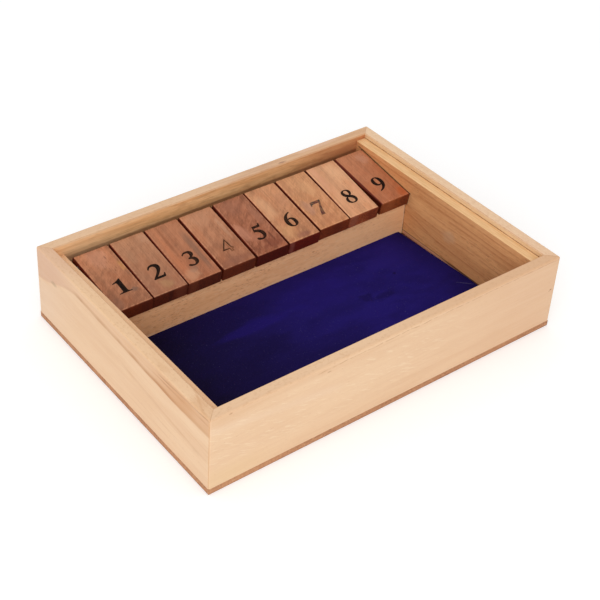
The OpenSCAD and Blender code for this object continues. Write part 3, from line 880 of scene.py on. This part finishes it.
def stamp(n, centre_x, centre_y, faded, patchy, greyed=0.0, outline=0.0):
    """A number's ink as a thin flat mesh on the top of its tile, or what is left of its outline."""
    curve = bpy.data.curves.new(f"stamp_{n}", "CURVE")
    curve.dimensions = "2D"
    curve.fill_mode, curve.extrude, curve.offset = "BOTH", INK_RISE / UNIT, 0.7
    if outline:
        curve.fill_mode, curve.extrude, curve.offset, curve.bevel_depth = "NONE", 0.0, 0.0, outline
    for path in WORN_FOUR if outline else OUTLINES[n]:
        draw(curve, path)
    drawing = placed("drawing", curve)
    mesh = as_mesh(drawing)
    bpy.data.objects.remove(drawing)
    if outline:
        mesh.transform(Matrix.Diagonal((1, 1, 2.5 * INK_RISE / UNIT / outline, 1)))
    along = (centre_y - ROD_Y + TILE_T / 2 * math.sin(TILE_SLOPE)) / math.cos(TILE_SLOPE)
    mesh.transform(Matrix.Translation((0, ROD_Y, ROD_Z)) @ Matrix.Rotation(TILE_SLOPE, 4, "X")
                   @ Matrix.Translation((centre_x, along, TILE_T / 2))
                   @ Matrix.Rotation(math.pi if n == 9 else 0, 4, "Z") @ Matrix.Scale(UNIT, 4))
    f = tile_wood(*tile_woods[n])
    f.material.name = f"stamped_black_{n}"
    cover = f.blots((1.6, 1.2, 1.2), n + 60, 0.3, 0.7, detail=3.0, rough=0.65)
    gone = cover * patchy + faded
    if outline:
        at_v = (centre_x - tile_woods[n][1].x - along * tile_woods[n][2]) / MM
        foot = f.fall(f.u, along / MM - 2.3, along / MM - 1.5) * f.rise(f.v, at_v + 0.5, at_v + 1.3)
        gone = gone.most(foot * 0.6)
    ink = f.blend(f.blots((1, 1, 1), n, 0.3, 0.7), (12, 8, 7), (26, 18, 15))
    violet = f.blots((2.6, 2.2, 2.0), n + 64, 0.42, 0.6, detail=1.0)
    ink = f.blend(greyed, ink, f.blend(violet, (70, 68, 60), (92, 50, 54)))
    f.colour = f.blend(gone, ink, f.colour)
    mesh.materials.clear()
    mesh.materials.append(f.close(gone * 0.1 + 0.6, cover, 0.02, specular=0.03))
    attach(placed(f"stamp_{n}" + ("_edge" if outline else ""), mesh), f"tile_{n}")


numbers = (
    (1, -82.5, 37.1, 0, 0.04), (2, -62.13, 37.5, 0, 0.05), (3, -41.45, 37.2, 0, 0.15),
    (4, -20.02, 36.2, 0.76, 0.17), (5, 1.56, 36.95, 0, 0.15), (6, 22.2, 36.9, 0, 0.1),
    (7, 42.68, 37.2, 0, 0.42), (8, 63.08, 36.8, 0, 0.05), (9, 85.29, 37.25, 0, 0.05),
)
for n, x, y, faded, patchy in numbers:
    stamp(n, x * MM, y * MM, faded, patchy, greyed={4: 1.0, 7: 0.75}.get(n, 0.0))
stamp(4, numbers[3][1] * MM, numbers[3][2] * MM, 0.0, 0.3, outline=3.6)

# Nail marks: the nails are set below the surface, and each hole is stopped with a dab
# of filler, two at each end of the front and back walls and rows underneath. At the
# right end the upper dabs have turned brown.
DAB_R, DAB_RISE = 0.7 * MM, 0.03 * MM
SIDE_X, SKIN_Y, WALL_Y, RAIL_Y, DOWN = 104.9, 76.75, 73.65, 29.45, (0, 0, -1)
brads = [((sx * SIDE_X, sy * SKIN_Y, z), (0, sy, 0)) for sx in (-1, 1) for sy in (-1, 1)
         for z in (11, 25)]
brads += [((x, sy * WALL_Y, 0), DOWN) for x in (-96, -48, 0, 48, 96) for sy in (-1, 1)]
brads += [((sx * SIDE_X, y, 0), DOWN) for sx in (-1, 1) for y in (-35, 35)]
brads += [((x, RAIL_Y, 0), DOWN) for x in (-70, 0, 70)]


def dab_tree():
    """Geometry nodes that set one flat dab on each point, turned to face out of the wood."""
    t, g = new_group("filler_dabs", Geometry=("Points",), Float=("Radius", "Rise"), Int=("Seed",),
                     Material=("Filler",))
    dab = t.node("GeometryNodeMeshUVSphere", {"Segments": 16, "Rings": 8, "Radius": g["Radius"]})
    flat = t.node("ShaderNodeCombineXYZ", {0: 1.0, 1: 0.5, 2: g["Rise"] / g["Radius"]})
    dab = t.node("GeometryNodeTransform", {"Geometry": dab, "Scale": flat})
    way = t.node("GeometryNodeInputNamedAttribute", {"Name": "way"}, data_type="FLOAT_VECTOR")
    facing = t.node("FunctionNodeAlignRotationToVector", {"Vector": way}, axis="Z")
    spin, size = (t.node("FunctionNodeRandomValue", {2: low, 3: high, "Seed": seed}, out=1,
                         data_type="FLOAT")
                  for low, high, seed in ((-0.5, 0.5, g["Seed"]), (0.8, 1.15, g["Seed"] + 1)))
    spun = t.node("ShaderNodeCombineXYZ", {2: spin})
    facing = t.node("FunctionNodeRotateRotation", {"Rotation": facing, "Rotate By": spun},
                    rotation_space="LOCAL")
    dabs = t.node("GeometryNodeInstanceOnPoints", {
        "Points": g["Points"], "Instance": dab, "Rotation": facing, "Scale": size})
    dabs = t.node("GeometryNodeRealizeInstances", {"Geometry": dabs})
    dabs = t.node("GeometryNodeSetMaterial", {"Geometry": dabs, "Material": g["Filler"]})
    t.node("NodeGroupOutput", {0: dabs}, out=None)
    return t.tree


places = bpy.data.meshes.new("brad_places")
places.from_pydata([Vector(p) * MM for p, way in brads], [], [])
ways = places.attributes.new("way", "FLOAT_VECTOR", "POINT")
for item, (p, way) in zip(ways.data, brads):
    item.vector = way
f = Finish("brown_filler")
speck = f.blots((0.4, 0.4, 0.4), 2, 0.3, 0.7)
old = f.rise(f.u, 90, 100) * f.rise(f.w, 20, 22)
f.colour = f.blend(speck, (236, 200, 162), (228, 188, 148))
f.lay(old, (176, 126, 88))
filler = f.close(speck * 0.1 + 0.6, speck, 0.02)
values = {"Radius": DAB_R, "Rise": DAB_RISE, "Seed": 3, "Filler": filler}
dabs = grown("filler_dabs", dab_tree(), values, places)
dabs.data.shade_smooth()
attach(dabs, "box")

# Stage: a plain white floor that keeps the object's shadow, soft light from all round,
# and one large lamp in front and to the left.
FLOOR_HALF, FLOOR_GAP = 3.0, 0.05 * MM
SKY, LAMP_POWER, LAMP_SIZE, LAMP_PLACE = 0.8, 10.0, 1.1, (-1.0, -1.02, 0.8)
scene = bpy.context.scene


def shown_white(f, plain, white):
    """The plain shader for light, and the white one for what the eye or a shiny surface sees."""
    seen = f.node("ShaderNodeLightPath", {}, out="Is Camera Ray")
    for kind in ("Is Glossy Ray", "Is Transmission Ray"):
        seen = seen.most(f.node("ShaderNodeLightPath", {}, out=kind))
    return f.node("ShaderNodeMixShader", {0: seen, 1: plain, 2: white})


mesh = bpy.data.meshes.new("floor")
corners = [(x * FLOOR_HALF, y * FLOOR_HALF, -FLOOR_GAP)
           for x, y in ((-1, -1), (1, -1), (1, 1), (-1, 1))]
mesh.from_pydata(corners, [], [(0, 1, 2, 3)])
floor = placed("floor", mesh)
paper = bpy.data.materials.new("white_floor")
paper.use_nodes = True
f = Tree(paper.node_tree)
plain, bright = (f.node("ShaderNodeBsdfDiffuse", {"Color": (c, c, c, 1)}) for c in (0.8, 0.92))
glow = f.node("ShaderNodeEmission", {"Color": (1, 1, 1, 1), "Strength": 0.2})
white = f.node("ShaderNodeAddShader", {0: bright, 1: glow})
f.node("ShaderNodeOutputMaterial", {0: shown_white(f, plain, white)}, out=None)
mesh.materials.append(paper)

scene.world = scene.world or bpy.data.worlds.new("studio")
scene.world.use_nodes = True
f = Tree(scene.world.node_tree)
soft, full = (f.node("ShaderNodeBackground", {"Color": (1, 1, 1, 1), "Strength": s})
              for s in (SKY, 1.0))
f.node("ShaderNodeOutputWorld", {0: shown_white(f, soft, full)}, out=None)

light = bpy.data.lights.new("softbox", "AREA")
light.shape, light.size, light.energy = "SQUARE", LAMP_SIZE, LAMP_POWER
softbox = placed("softbox", light)
softbox.location = LAMP_PLACE
softbox.rotation_euler = (-softbox.location).to_track_quat("-Z", "Y").to_euler()

# Camera: the view of the photograph, fitted to the box's outer edges.
CAM_PLACE = Vector((-357.3, -427.7, 449.9)) * MM
AZ, EL, ROLL = (math.radians(a) for a in (-37.714, 35.171, 2.518))
SENSOR, LENS, SHIFT = 36.0, 82.02, (0.0679, -0.1187)
eye = bpy.data.cameras.new("camera")
eye.sensor_width, eye.lens, (eye.shift_x, eye.shift_y) = SENSOR, LENS, SHIFT
eye.clip_start, eye.clip_end = 0.01, 20.0
camera = placed("camera", eye)
camera.matrix_world = (Matrix.Translation(CAM_PLACE) @ Matrix.Rotation(AZ, 4, "Z")
                       @ Matrix.Rotation(math.pi / 2 - EL, 4, "X") @ Matrix.Rotation(ROLL, 4, "Z"))
scene.camera = camera
scene.view_settings.view_transform = "Standard"
